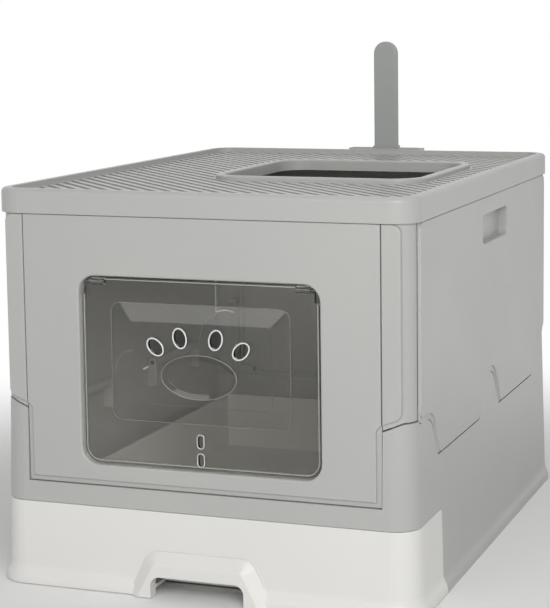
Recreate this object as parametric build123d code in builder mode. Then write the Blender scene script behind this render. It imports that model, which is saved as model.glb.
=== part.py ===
from build123d import *
import math
import os

os.makedirs("parts", exist_ok=True)

# Millimetres. The floor is z = 0, the front faces -Y, +X is the right-hand side.

# Clearances
fold_gap = 0.4          # between pieces that fold past each other
seam = 0.8              # visible seam between neighbouring panels
turn_gap = 0.3          # radial room of a pin in a piece that turns on it
pin_slip = 0.05         # radial room of a pin in the piece that holds it
drawer_gap = 0.6        # around the drawer front
weld = 0.25             # how far joined forms run into each other

# Lid
lid_width = 410.0
lid_depth = 540.0
lid_edge_z = 351.5      # lower edge of the skirt
lid_skirt = 23.0
lid_wall = 3.0
lid_corner = 26.0
lid_round = 4.5
lid_rim = 10.0          # width of the raised rim round the top
lid_recess = 5.0        # depth of the ribbed field below the rim
lid_plate = 3.0
lid_reveal = 1.0        # the skirt stands this far outside the walls below it
groove_width = 5.6
groove_pitch = 11.6
groove_depth = 1.8
groove_angle = 45.0
groove_border = 3.0     # plain edge left round the ribbed field
entry_side = 55.5       # lid's right edge to the entry
entry_back = 155.0      # lid's rear edge to the entry
entry_width = 205.0
entry_depth = 202.0
entry_corner = 27.0
collar_width = 9.0
collar_rise = 4.5
collar_drop = 4.0
collar_round = 1.8

# Walls
side_wall = 3.2
panel_wall = 2.6
edge_round = 1.3        # outer edges of side panels and strips
rim_round = 0.9         # rims of the drawer front and of the lid's skirt
groove_step = 2.6       # recess of the panel border and of the corner grooves
post_width = 29.7       # outer face of the sides to the corner strips' inner edge
strip_width = 17.7
strip_lift = 6.0        # strip's foot above the top of the base corner
strip_round = 8.0
post_wall = 3.0
post_corner = 20.0

# Base
base_wall = 2.6
base_rim_z = 175.0      # top of the base corners
base_draft = 1.5
base_corner = 26.0
base_step = 1.1         # the base stands this far outside the posts' sides
base_proud = 0.4        # the base stands this far outside the corner grooves
corner_fall = 7.0       # the corner top falls this far towards the front panel
mouth_z = 80.0          # top of the drawer's mouth
band_height = 19.0      # front and rear band above the mouth
wing_wrap = 87.0        # the drawer front wraps this far round the sides
foot_flat = 6.0
foot_flare = 4.0
foot_rise = 8.0
foot_round = 14.0       # bends of the flared foot
ledge_depth = 16.0
ledge_wall = 3.0
floor_wall = 2.4
floor_setback = 31.0    # front edge of the floor plate behind the front face
runner_inset = 42.0     # runners inside the pan's sides
runner_width = 12.0

# Side panels
post_depth = 22.0       # front face to the end of a side panel
side_edge_rise = 2.0    # side panels' lower edge above the base corners
side_round = 8.0
tab_inset = 41.0        # end of a side panel to the tab's flank
tab_mid = 44.0          # middle of the side to a tab's foot
tab_flare = 22.0        # each flank of a tab runs out by this much
tab_drop = 41.6         # below the base corners
wave_slit = 0.5         # between a side panel and the base
foot_slit = 1.8         # below the tabs' feet
wave_round = 30.0       # where a tab's flank runs into the panel's lower edge
tab_round = 5.0         # corners of a tab's foot
wave_margin = 5.0       # width of the low border along a panel's lower edge
wave_step = 1.6         # the border lies this far below the panel's face
side_stagger = 12.0     # the left hinges stand higher, so that the panels stack
knuckle_r = 4.8
knuckle_room = 1.0
knuckle_inset = 15.0    # inside the tab's foot
hinge_rise = 4.6
rod_r = 2.5
lug_wall = 6.0
lug_gap = 1.0
lug_root = 20.0
grip_y = 20.0
grip_drop = 31.9        # below the wall's top
grip_length = 100.0
grip_height = 29.0
grip_depth = 9.0
grip_wall = 1.8
grip_round = 7.0
grip_edge = 1.5         # rounding of the recess's mouth
tongue_inset = 127.0    # inside the panel's end
tongue_wall = 2.8
tongue_rise = 9.5       # above the lid's lower edge
tongue_root = 13.0

# Front and rear panels
panel_depth = 11.5
panel_rib = 3.0
panel_round = 1.0
panel_axis_in = 11.0    # hinge axis behind the panel's face
panel_axis_rise = 7.0   # hinge axis above the front rim
panel_pin_r = 3.0
boss_r = 4.8
boss_length = 18.0
border_width = 4.8
border_end = 6.0        # the side border ends this far below the corner top
window_half = 117.75
window_sill = 20.4      # above the front rim
window_head = 55.2      # below the wall's top
window_corner = 16.0
window_round = 2.0
cheek_wall = 3.0
cheek_root = 3.0

# Flap
flap_gap = 2.0
flap_wall = 2.4
flap_set = 5.8          # behind the front panel's face
flap_axis_drop = 5.7    # below the window's head
flap_pin_r = 1.8
flap_knuckle_r = 3.4
flap_knuckle = 14.0
flap_knuckle_inset = 8.0
flap_step = 4.0         # each top corner is this much narrower
flap_step_drop = 15.0
flap_bead = 2.6         # width of the raised bead round the flap
flap_bead_rise = 0.9
flap_edge = 0.6         # rounding of the bead
bulge = 3.0             # the middle of the flap stands this far forward
bulge_slope = 17.0      # width of the sloped band round the bulge
bulge_side = 29.75      # inside the window's sides
bulge_foot = 42.6       # above the sill
bulge_head = 23.7       # below the head
bulge_corner = 10.0
bulge_inner_corner = 5.0
rim_rise = 1.3          # rims round the cut-outs
rim_edge = 0.6
toe_rim = 2.0
slot_rim = 1.4
toe_width = 11.0
toe_height = 16.6
outer_toe_x = 42.0
outer_toe_rise = 26.5   # above the middle of the palm
outer_toe_tilt = 46.0
inner_toe_x = 17.6
inner_toe_rise = 35.5
inner_toe_tilt = 13.0
palm_width = 73.0
palm_height = 40.0
palm_dip = 1.6          # depth of the palm's dish
palm_slope = 4.5        # width of the dish's sloped edge
palm_drop = 1.5         # below the window's middle
slot_width = 5.4
slot_height = 11.6
slot_foot = 9.9         # lower slot above the sill
slot_pitch_z = 17.3

# Post frames
frame_axis_rise = 13.0  # hinge axis above the base corners
frame_pin_r = 2.4
frame_lug_r = 4.2
post_foot_gap = 1.5     # posts above the base corners
frame_lug_wall = 5.0
rail_gap = 3.1          # above the panels' top edge
rail_height = 8.6
rail_depth = 10.0

# Drawer
drawer_wall = 2.6
drawer_bottom_z = 0.8
pan_room = 6.7          # between the pan and the base walls
pan_wall = 2.2
pan_front_gap = 24.0    # pan's front wall behind the drawer's face
pan_lift = 0.3          # pan above the runners
runner_height = 4.3
pan_drop = 7.0          # pan's rim below the mouth's top
web_wall = 3.0
pull_half = 72.0
pull_top_half = 50.0
pull_height = 43.0
pull_open_half = 46.0
pull_open_height = 21.0
pull_proud = 9.0
pull_slope = 11.0       # width of the sloped edge on the pull's face
pull_slope_depth = 8.0
pull_corner = 16.0
pull_open_corner = 9.0
pull_round = 2.5

# Scoop and its holder
scoop_x = 8.0
scoop_rise = 126.1      # handle above the lid
handle_width = 28.5
handle_wall = 7.0
handle_round = 2.0
blade_width = 80.0
blade_wall = 2.5
blade_rim = 2.5
blade_length = 112.0
blade_corner = 12.0
blade_slot_width = 5.0
blade_slot_length = 70.0
blade_slots = 7
holder_wall = 2.5
holder_room = 1.5
holder_rise = 1.5       # above the lid's rim
holder_drop = 1.0       # below the lid's lower edge
stop_wall = 2.5

# Derived planes and positions
lid_top_z = lid_edge_z + lid_skirt
field_z = lid_top_z - lid_recess
plate_z = field_z - lid_plate
face_x = lid_width / 2 - lid_reveal
face_y = lid_depth / 2 - lid_reveal
landing_x = face_x - side_wall - fold_gap
groove_y = face_y - groove_step
wall_top_z = lid_edge_z - fold_gap
entry_x = lid_width / 2 - entry_side - entry_width / 2
entry_y = lid_depth / 2 - entry_back - entry_depth / 2
strip_inner_x = face_x - post_width
front_rim_z = mouth_z + band_height
ledge_z = front_rim_z - ledge_wall
wing_y = face_y - wing_wrap
side_half = face_y - post_depth
side_edge_z = base_rim_z + side_edge_rise
tab_half = (side_half - tab_inset - tab_flare - tab_mid) / 2
tab_y = tab_mid + tab_half
tab_z = base_rim_z - tab_drop
knuckle_half = tab_half - knuckle_inset
grip_z = wall_top_z - grip_drop
tongue_half = side_half - tongue_inset
window_bottom_z = front_rim_z + window_sill
window_top_z = wall_top_z - window_head
palm_z = (window_bottom_z + window_top_z) / 2 - palm_drop
panel_half = strip_inner_x - seam
panel_bottom_z = front_rim_z + seam
panel_axis_y = face_y - panel_axis_in
panel_axis_z = front_rim_z + panel_axis_rise
panel_back_y = face_y - panel_depth
strip_outer_x = strip_inner_x + strip_width
corner_low_z = base_rim_z - corner_fall
draft_slope = math.tan(math.radians(base_draft))
base_floor_x = landing_x + base_step + base_rim_z * draft_slope
base_floor_y = groove_y + base_proud + base_rim_z * draft_slope
hinge_x = face_x - side_wall - knuckle_room - knuckle_r
post_end_y = side_half + fold_gap
frame_axis_y = post_end_y + frame_lug_r
frame_axis_z = base_rim_z + frame_axis_rise
rail_z = wall_top_z + rail_gap
rail_top_z = rail_z + rail_height
cheek_outer_x = strip_inner_x + cheek_wall
frame_lug_x = cheek_outer_x + fold_gap
flap_y = face_y - flap_set
flap_axis_y = flap_y - flap_wall / 2
flap_axis_z = window_top_z - flap_axis_drop
flap_half = window_half - flap_gap
flap_top_z = window_top_z - flap_gap
flap_bottom_z = window_bottom_z + flap_gap
pan_half = landing_x + base_step - base_wall - pan_room
pan_rear_y = groove_y + base_proud - base_wall - pan_room
floor_front_y = face_y - floor_setback
runner_x = pan_half - runner_inset
pan_z = floor_wall + runner_height + pan_lift
pan_top_z = mouth_z - pan_drop
pan_front_y = face_y - pan_front_gap
drawer_top_z = mouth_z - drawer_gap
holder_y = lid_depth / 2
slot_depth = handle_wall + 2 * holder_room
holder_depth = slot_depth + 2 * holder_wall
holder_half = blade_width / 2 + holder_room + holder_wall
holder_top_z = lid_top_z + holder_rise
scoop_top_z = lid_top_z + scoop_rise
handle_y = holder_y + holder_wall + holder_room
blade_top_z = lid_edge_z
blade_bottom_z = blade_top_z - blade_length
far = lid_width + lid_depth
ENDS = (-1, 1)


def span(side, near, far_edge):
    """Interval between two distances measured out on one side of the middle."""
    return tuple(sorted((side * near, side * far_edge)))


def block(x, y, z, mode=Mode.ADD):
    """Box between three intervals."""
    with Locations((sum(x) / 2, sum(y) / 2, sum(z) / 2)):
        Box(x[1] - x[0], y[1] - y[0], z[1] - z[0], mode=mode)


def bar_x(x, y, z, radius, mode=Mode.ADD):
    """Round bar along X through (y, z)."""
    with Locations(Location((sum(x) / 2, y, z), (0, 90, 0))):
        Cylinder(radius, x[1] - x[0], mode=mode)


def bar_y(x, y, z, radius, mode=Mode.ADD):
    """Round bar along Y through (x, z)."""
    with Locations(Location((x, sum(y) / 2, z), (90, 0, 0))):
        Cylinder(radius, y[1] - y[0], mode=mode)


def facing(y):
    """Plane square to Y whose sketch reads x to the right and z up, seen from the front."""
    return Plane(origin=(0, y, 0), x_dir=(1, 0, 0), z_dir=(0, -1, 0))


def base_form(inset, foot):
    """Drafted form of the lower body, taken in by inset, with or without its flared foot."""
    with BuildPart() as form:
        with BuildSketch(Plane.XY):
            RectangleRounded(2 * (base_floor_x - inset), 2 * (base_floor_y - inset), base_corner - inset)
        extrude(amount=base_rim_z, taper=base_draft)
        if foot:
            with BuildSketch(Plane.XY) as sole:
                RectangleRounded(2 * (base_floor_x + foot_flare), 2 * (base_floor_y + foot_flare),
                                 base_corner + foot_flare)
            extrude(amount=foot_flat)
            with BuildSketch(Plane.XY.offset(foot_flat)):
                add(sole.sketch)
            extrude(amount=2 * foot_rise, taper=math.degrees(math.atan2(foot_flare, foot_rise)))
            bends = form.edges().filter_by_position(Axis.Z, foot_flat - weld, foot_flat + 2 * foot_rise)
            fillet([bend for bend in bends if bend.bounding_box().size.Z < weld], radius=foot_round)
    return form.part


def side_outline(lift):
    """Outline of a side panel in (y, z): a field with two hinge tabs on a wave-shaped lower edge."""
    with BuildSketch(Plane.XY) as outline:
        with Locations((0, (side_edge_z + wall_top_z) / 2)):
            Rectangle(2 * side_half, wall_top_z - side_edge_z)
        for end in ENDS:
            with BuildLine():
                Polyline(
                    (end * (tab_y - tab_half - tab_flare), side_edge_z),
                    (end * (tab_y - tab_half), tab_z + lift),
                    (end * (tab_y + tab_half), tab_z + lift),
                    (end * (tab_y + tab_half + tab_flare), side_edge_z),
                    close=True,
                )
            make_face()
        fillet([v for v in outline.vertices() if v.Y < tab_z + lift + seam], radius=tab_round)
        lower_edge = [v for v in outline.vertices() if abs(v.Y - side_edge_z) < seam]
        fillet([v for v in lower_edge if abs(v.X) < side_half - seam], radius=wave_round)
        fillet([v for v in outline.vertices() if abs(v.X) > side_half - seam], radius=side_round)
    return outline.sketch


def border_outline(lift):
    """Outline of a side panel with the low border along its wave, in (y, z)."""
    with BuildSketch(Plane.XY) as outline:
        add(side_outline(lift))
        offset(amount=wave_margin)
        with Locations((0, (tab_z + lift + wall_top_z) / 2)):
            Rectangle(2 * side_half, wall_top_z - tab_z - lift, mode=Mode.INTERSECT)
    return outline.sketch


def trimmed(x, y, z):
    """Block trimmed to the outer form of the lower body."""
    with BuildPart() as piece:
        block(x, y, z)
        add(base_outer, mode=Mode.INTERSECT)
    return piece.part


# Lower body
base_outer = base_form(0, True)
base_inner = base_form(base_wall, False)

with BuildPart() as base_shell:
    add(base_outer)
    add(base_inner, mode=Mode.SUBTRACT)
    block((-strip_inner_x, strip_inner_x), (-far, far), (front_rim_z, far), Mode.SUBTRACT)
    block((-far, far), (-far, -wing_y), (-far, mouth_z), Mode.SUBTRACT)
    for side, lift in ((1, 0), (-1, side_stagger)):
        with BuildSketch(Plane.YZ):
            add(border_outline(lift))
            offset(amount=wave_slit)
            for tab in ENDS:
                with Locations((tab * tab_y, tab_z + lift - foot_slit / 2)):
                    Rectangle(2 * (tab_half + wave_margin), foot_slit)
        extrude(amount=side * far, mode=Mode.SUBTRACT)
        with BuildSketch(facing(far)):
            with BuildLine():
                Polyline(
                    (side * strip_inner_x, corner_low_z),
                    (side * strip_outer_x, base_rim_z),
                    (side * strip_inner_x, base_rim_z),
                    close=True,
                )
            make_face()
        extrude(amount=2 * far, mode=Mode.SUBTRACT)
    for end in ENDS:
        add(trimmed((-far, far), span(end, face_y - ledge_depth, far), (ledge_z, front_rim_z)))
        for side in ENDS:
            cheek = span(side, strip_inner_x, cheek_outer_x)
            add(trimmed(cheek, span(end, post_end_y, far), (ledge_z, corner_low_z - cheek_root)))
            block(cheek, span(end, post_end_y, frame_axis_y + frame_lug_r), (ledge_z, frame_axis_z))
            bar_x(cheek, end * frame_axis_y, frame_axis_z, frame_lug_r)
            bar_x(cheek, end * frame_axis_y, frame_axis_z, frame_pin_r + pin_slip, Mode.SUBTRACT)
            bar_x(cheek, end * panel_axis_y, panel_axis_z, panel_pin_r + pin_slip, Mode.SUBTRACT)
    for side, lift in ((1, 0), (-1, side_stagger)):
        axis_z = tab_z + hinge_rise + lift
        root_z = tab_z + lift - foot_slit - wave_slit
        for tab in ENDS:
            for lug in ENDS:
                lug_start = tab * tab_y + lug * (knuckle_half + lug_gap)
                lug_x = span(side, hinge_x - knuckle_r, hinge_x + knuckle_r)
                lug_y = tuple(sorted((lug_start, lug_start + lug * lug_wall)))
                add(trimmed(span(side, hinge_x - knuckle_r, far), lug_y, (root_z - lug_root, root_z)))
                block(lug_x, lug_y, (root_z - lug_root, axis_z))
                bar_y(side * hinge_x, lug_y, axis_z, knuckle_r)
                bar_y(side * hinge_x, lug_y, axis_z, rod_r + pin_slip, Mode.SUBTRACT)

with BuildPart() as base_floor:
    with BuildSketch(Plane.XY):
        plate_y = (-wing_y + drawer_gap, base_floor_y)
        with Locations((0, sum(plate_y) / 2)):
            Rectangle(2 * base_floor_x, plate_y[1] - plate_y[0])
        with Locations((0, -(floor_front_y + wing_y) / 2 + drawer_gap)):
            Rectangle(2 * pan_half, floor_front_y - wing_y)
    extrude(amount=floor_wall)
    add(base_inner, mode=Mode.INTERSECT)
    for side in ENDS:
        block(span(side, runner_x - runner_width / 2, runner_x + runner_width / 2),
              (-floor_front_y + drawer_gap, pan_rear_y), (floor_wall, floor_wall + runner_height))

# Drawer with its wrap-round front and arch pull
with BuildPart() as litter_drawer:
    add(base_outer)
    add(base_form(drawer_wall, False), mode=Mode.SUBTRACT)
    block((-far, far), (-far, -wing_y - drawer_gap), (drawer_bottom_z, drawer_top_z), Mode.INTERSECT)
    add(trimmed((-far, far), (-far, -wing_y - drawer_gap), (pan_z, pan_z + web_wall)))
    add(trimmed((-pan_half, pan_half), (-far, -pan_front_y), (pan_top_z - web_wall, pan_top_z)))
    block((-pan_half, pan_half), (-pan_front_y, pan_rear_y), (pan_z, pan_top_z))
    block((-pan_half + pan_wall, pan_half - pan_wall), (-pan_front_y + pan_wall, pan_rear_y - pan_wall),
          (pan_z + pan_wall, far), Mode.SUBTRACT)
    pull_back_y = base_floor_y - pull_height * draft_slope - drawer_wall / 2
    pull_face_y = base_floor_y + pull_proud
    with BuildSketch(facing(-pull_back_y)) as arch:
        with BuildLine():
            Polyline(
                (-pull_half, drawer_bottom_z),
                (-pull_top_half, pull_height),
                (pull_top_half, pull_height),
                (pull_half, drawer_bottom_z),
                close=True,
            )
        make_face()
        fillet(arch.vertices().group_by(Axis.Y)[-1], radius=pull_corner)
    extrude(amount=pull_face_y - pull_back_y)
    arch_face = litter_drawer.faces().sort_by(Axis.Y)[0]
    arch_edges = arch_face.edges().sort_by(Axis.Z)[1:]
    chamfer(arch_edges, length=pull_slope, length2=pull_slope_depth, reference=arch_face)
    arch_face = litter_drawer.faces().sort_by(Axis.Y)[0]
    fillet(arch_face.edges().sort_by(Axis.Z)[1:], radius=pull_round)
    with BuildSketch(facing(-pan_front_y)) as finger_gap:
        with Locations((0, pull_open_height / 2 - pull_height / 2)):
            Rectangle(2 * pull_open_half, pull_open_height + pull_height)
        fillet(finger_gap.vertices().group_by(Axis.Y)[-1], radius=pull_open_corner)
    extrude(amount=far, mode=Mode.SUBTRACT)
    drawer_rim = litter_drawer.faces().filter_by(Axis.Z).sort_by(Axis.Z)[-1]
    fillet(drawer_rim.edges(), radius=rim_round)


def front_blank():
    """Folding end panel in the front place: raised face, recessed border, back rim and hinge bosses."""
    with BuildPart() as blank:
        middle_z = (panel_bottom_z + wall_top_z) / 2
        height = wall_top_z - panel_bottom_z
        with BuildSketch(facing(-panel_back_y)):
            with Locations((0, middle_z)):
                Rectangle(2 * panel_half, height)
        extrude(amount=groove_y - panel_back_y)
        with BuildSketch(facing(-panel_back_y)):
            with Locations((0, middle_z)):
                Rectangle(2 * (panel_half - panel_rib), height - 2 * panel_rib)
        extrude(amount=groove_y - panel_wall - panel_back_y, mode=Mode.SUBTRACT)
        with BuildSketch(facing(-groove_y)):
            border_x = panel_half - border_width
            border_top_z = corner_low_z + border_end
            with BuildLine():
                Polyline(
                    (-panel_half, wall_top_z),
                    (-panel_half, border_top_z),
                    (-border_x, border_top_z - border_width),
                    (-border_x, panel_bottom_z + border_width),
                    (border_x, panel_bottom_z + border_width),
                    (border_x, border_top_z - border_width),
                    (panel_half, border_top_z),
                    (panel_half, wall_top_z),
                    close=True,
                )
            make_face()
        extrude(amount=groove_step)
        fillet(blank.faces().sort_by(Axis.Y)[0].edges(), radius=panel_round)
        for side in ENDS:
            boss = span(side, panel_half - boss_length, panel_half)
            block(boss, (-groove_y, -panel_axis_y), (panel_axis_z - boss_r, panel_axis_z + boss_r))
            bar_x(boss, -panel_axis_y, panel_axis_z, boss_r)
            bar_x(boss, -panel_axis_y, panel_axis_z, panel_pin_r + turn_gap, Mode.SUBTRACT)
    return blank.part


def window_outline(grow):
    """Rounded outline of the entrance window in (x, z), let out by grow."""
    with BuildSketch(Plane.XY) as outline:
        with Locations((0, (window_bottom_z + window_top_z) / 2)):
            RectangleRounded(2 * (window_half + grow), window_top_z - window_bottom_z + 2 * grow,
                             window_corner + grow)
    return outline.sketch


# Front panel with the entrance window, and the plain rear panel
with BuildPart() as front_panel:
    add(front_blank())
    with BuildSketch(facing(-panel_back_y)):
        add(window_outline(panel_rib))
    extrude(amount=groove_y - panel_back_y)
    with BuildSketch(facing(far)):
        add(window_outline(0))
    extrude(amount=2 * far, mode=Mode.SUBTRACT)
    fillet(front_panel.faces().sort_by(Axis.Y)[0].inner_wires()[0].edges(), radius=window_round)
    for side in ENDS:
        pin_reach = span(side, flap_half - flap_knuckle_inset, window_half + panel_rib)
        bar_x(pin_reach, -flap_axis_y, flap_axis_z, flap_pin_r + pin_slip, Mode.SUBTRACT)

with BuildPart() as rear_panel:
    mirror(front_blank(), about=Plane.XZ)

# Clear flap with embossed frame, paw cut-outs and two slots
toes = (
    (-outer_toe_x, palm_z + outer_toe_rise, outer_toe_tilt),
    (-inner_toe_x, palm_z + inner_toe_rise, inner_toe_tilt),
    (inner_toe_x, palm_z + inner_toe_rise, -inner_toe_tilt),
    (outer_toe_x, palm_z + outer_toe_rise, -outer_toe_tilt),
)
slots_z = (window_bottom_z + slot_foot, window_bottom_z + slot_foot + slot_pitch_z)
bulge_half = window_half - bulge_side
bulge_height = window_top_z - bulge_head - window_bottom_z - bulge_foot
bulge_z = window_bottom_z + bulge_foot + bulge_height / 2
bulge_y = flap_y + bulge


def bulge_form(back_y):
    """Low frustum of the flap's bulge, whose wide side lies at back_y."""
    with BuildPart() as form:
        with BuildSketch(facing(-back_y)):
            with Locations((0, bulge_z)):
                RectangleRounded(2 * bulge_half, bulge_height, bulge_corner)
        with BuildSketch(facing(-back_y - bulge)):
            with Locations((0, bulge_z)):
                RectangleRounded(2 * (bulge_half - bulge_slope), bulge_height - 2 * bulge_slope,
                                 bulge_inner_corner)
        loft()
    return form.part


def palm_form(front_y):
    """Dish of the palm, whose wide side lies at front_y."""
    with BuildPart() as form:
        with BuildSketch(facing(-front_y)):
            with Locations((0, palm_z)):
                Ellipse(palm_width / 2, palm_height / 2)
        with BuildSketch(facing(-front_y + palm_dip)):
            with Locations((0, palm_z)):
                Ellipse(palm_width / 2 - palm_slope, palm_height / 2 - palm_slope)
        loft()
    return form.part


def flap_outline(grow):
    """Outline of the flap in (x, z), let out by grow."""
    with BuildSketch(Plane.XY) as outline:
        add(window_outline(-flap_gap + grow))
        for side in ENDS:
            step_x = flap_half - flap_step + grow
            step_z = flap_top_z - flap_step_drop + grow
            with Locations((side * (step_x + flap_half) / 2, (step_z + flap_top_z) / 2)):
                Rectangle(flap_half - step_x, flap_top_z - step_z, mode=Mode.SUBTRACT)
    return outline.sketch


with BuildPart() as flap:
    with BuildSketch(facing(-flap_y + flap_wall)):
        add(flap_outline(0))
    extrude(amount=flap_wall)
    with BuildSketch(facing(-flap_y)):
        add(flap_outline(0))
        add(flap_outline(-flap_bead), mode=Mode.SUBTRACT)
    extrude(amount=flap_bead_rise)
    fillet(flap.faces().sort_by(Axis.Y)[0].edges(), radius=flap_edge)
    add(bulge_form(flap_y))
    add(bulge_form(flap_y - flap_wall), mode=Mode.SUBTRACT)
    add(palm_form(bulge_y - flap_wall))
    add(palm_form(bulge_y), mode=Mode.SUBTRACT)
    with BuildSketch(facing(-bulge_y)):
        for x, z, tilt in toes:
            with Locations((x, z)):
                Ellipse(toe_width / 2 + toe_rim, toe_height / 2 + toe_rim, rotation=tilt)
    extrude(amount=rim_rise)
    with BuildSketch(facing(-flap_y)):
        for z in slots_z:
            with Locations((0, z)):
                SlotOverall(slot_height + 2 * slot_rim, slot_width + 2 * slot_rim, rotation=90)
    extrude(amount=rim_rise)
    with BuildSketch(facing(far)):
        for x, z, tilt in toes:
            with Locations((x, z)):
                Ellipse(toe_width / 2, toe_height / 2, rotation=tilt)
        for z in slots_z:
            with Locations((0, z)):
                SlotOverall(slot_height, slot_width, rotation=90)
    extrude(amount=2 * far, mode=Mode.SUBTRACT)
    rim_planes = (bulge_y + rim_rise, flap_y + rim_rise)
    rim_faces = [face for face in flap.faces().filter_by(Axis.Y)
                 if min(abs(face.center().Y + plane) for plane in rim_planes) < weld]
    fillet([edge for face in rim_faces for edge in face.edges()], radius=rim_edge)
    for side in ENDS:
        knuckle_end = flap_half - flap_knuckle_inset
        knuckle = span(side, knuckle_end - flap_knuckle, knuckle_end)
        bore_r = flap_pin_r + turn_gap
        bar_x(knuckle, -flap_axis_y, flap_axis_z, flap_knuckle_r)
        bar_x(knuckle, -flap_axis_y, flap_axis_z, bore_r, Mode.SUBTRACT)
        block(span(side, knuckle_end, flap_half), (-far, far), (flap_axis_z - bore_r, flap_axis_z + bore_r),
              Mode.SUBTRACT)


def post_section(inset):
    """Plan outline that the corner posts follow, taken in by inset."""
    with BuildSketch(Plane.XY) as outline:
        RectangleRounded(2 * (landing_x - inset), 2 * (groove_y - inset), post_corner - inset)
    return outline.sketch


def front_posts():
    """Folding post frame in the front place: two corner posts with strips, top rail and hinge lugs."""
    with BuildPart() as frame:
        with BuildSketch(Plane.XY.offset(corner_low_z)):
            add(post_section(0))
            add(post_section(post_wall), mode=Mode.SUBTRACT)
            with Locations((0, -post_end_y - far / 2)):
                Rectangle(far, far, mode=Mode.INTERSECT)
            Rectangle(2 * strip_inner_x, far, mode=Mode.SUBTRACT)
        extrude(amount=rail_top_z - corner_low_z)
        for side in ENDS:
            with BuildSketch(facing(-groove_y + post_wall)) as strip:
                with BuildLine():
                    Polyline(
                        (side * strip_inner_x, corner_low_z + strip_lift),
                        (side * strip_outer_x, base_rim_z + strip_lift),
                        (side * strip_outer_x, wall_top_z),
                        (side * strip_inner_x, wall_top_z),
                        close=True,
                    )
                make_face()
                outer_corners = [v for v in strip.vertices() if abs(v.X) > strip_outer_x - seam]
                fillet(outer_corners, radius=strip_round)
            extrude(amount=face_y - groove_y + post_wall)
            strip_faces = frame.faces().filter_by(Axis.Y).group_by(Axis.Y)[0]
            fillet(strip_faces.sort_by(Axis.X)[-1 if side > 0 else 0].edges(), radius=edge_round)
            with BuildSketch(facing(0)):
                with BuildLine():
                    Polyline(
                        (side * strip_inner_x, corner_low_z + post_foot_gap),
                        (side * strip_outer_x, base_rim_z + post_foot_gap),
                        (side * far, base_rim_z + post_foot_gap),
                        (side * far, 0),
                        (side * strip_inner_x, 0),
                        close=True,
                    )
                make_face()
            extrude(amount=far, mode=Mode.SUBTRACT)
            lug = span(side, frame_lug_x, frame_lug_x + frame_lug_wall)
            lug_z = (frame_axis_z - frame_lug_r, frame_axis_z + frame_lug_r)
            block(lug, (-groove_y + post_wall / 2, -frame_axis_y), lug_z)
            bar_x(lug, -frame_axis_y, frame_axis_z, frame_lug_r)
            bar_x(lug, -frame_axis_y, frame_axis_z, frame_pin_r + turn_gap, Mode.SUBTRACT)
        rail_half = landing_x - post_corner
        block((-rail_half, rail_half), (-groove_y, -groove_y + rail_depth), (rail_z, rail_top_z))
    return frame.part


with BuildPart() as front_frame:
    add(front_posts())

with BuildPart() as rear_frame:
    mirror(front_posts(), about=Plane.XZ)


def side_panel(side, lift):
    """Folding side panel with hinge knuckles, grip recess and the tongue that finds the lid."""
    axis_z = tab_z + hinge_rise + lift
    inner_x = face_x - side_wall
    with BuildPart() as panel:
        with BuildSketch(Plane.YZ.offset(side * inner_x)):
            add(border_outline(lift))
        extrude(amount=side * (side_wall - wave_step))
        with BuildSketch(Plane.YZ.offset(side * inner_x)):
            add(side_outline(lift))
        extrude(amount=side * side_wall)
        outer_face = panel.faces().filter_by(Axis.X).sort_by(Axis.X)[-1 if side > 0 else 0]
        fillet(outer_face.edges(), radius=edge_round)
        cup_x = face_x - grip_depth
        with BuildSketch(Plane.YZ.offset(side * (cup_x - grip_wall))):
            with Locations((grip_y, grip_z)):
                RectangleRounded(grip_length + 2 * grip_wall, grip_height + 2 * grip_wall,
                                 grip_round + grip_wall)
        extrude(amount=side * (grip_depth + grip_wall - side_wall / 2))
        with BuildSketch(Plane.YZ.offset(side * cup_x)):
            with Locations((grip_y, grip_z)):
                RectangleRounded(grip_length, grip_height, grip_round)
        extrude(amount=side * far, mode=Mode.SUBTRACT)
        outer_face = panel.faces().filter_by(Axis.X).sort_by(Axis.X)[-1 if side > 0 else 0]
        fillet(outer_face.inner_wires()[0].edges(), radius=grip_edge)
        block(span(side, inner_x - tongue_wall, inner_x + weld), (-tongue_half, tongue_half),
              (wall_top_z - tongue_root, lid_edge_z + tongue_rise))
        for tab in ENDS:
            knuckle_y = (tab * tab_y - knuckle_half, tab * tab_y + knuckle_half)
            web_half = knuckle_r - knuckle_room
            block(span(side, hinge_x, inner_x + weld), knuckle_y, (axis_z - web_half, axis_z + web_half))
            bar_y(side * hinge_x, knuckle_y, axis_z, knuckle_r)
            bar_y(side * hinge_x, knuckle_y, axis_z, rod_r + turn_gap, Mode.SUBTRACT)
    return panel.part


with BuildPart() as right_side_panel:
    add(side_panel(1, 0))

with BuildPart() as left_side_panel:
    add(side_panel(-1, side_stagger))


def hinge_rods(side, lift):
    """Pair of rods that carry one side panel."""
    with BuildPart() as rods:
        for tab in ENDS:
            reach = knuckle_half + lug_gap + lug_wall
            rod_y = (tab * tab_y - reach, tab * tab_y + reach)
            bar_y(side * hinge_x, rod_y, tab_z + hinge_rise + lift, rod_r)
    return rods.part


with BuildPart() as right_hinge_rods:
    add(hinge_rods(1, 0))

with BuildPart() as left_hinge_rods:
    add(hinge_rods(-1, side_stagger))


def pin_pair(near, reach, y, z, radius):
    """Pair of stub pins on one X axis, one on each side."""
    with BuildPart() as pins:
        for side in ENDS:
            bar_x(span(side, near, reach), y, z, radius)
    return pins.part


with BuildPart() as front_panel_pins:
    add(pin_pair(panel_half - boss_length, cheek_outer_x, -panel_axis_y, panel_axis_z, panel_pin_r))

with BuildPart() as rear_panel_pins:
    add(pin_pair(panel_half - boss_length, cheek_outer_x, panel_axis_y, panel_axis_z, panel_pin_r))

with BuildPart() as front_frame_pins:
    add(pin_pair(strip_inner_x, frame_lug_x + frame_lug_wall, -frame_axis_y, frame_axis_z, frame_pin_r))

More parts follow.
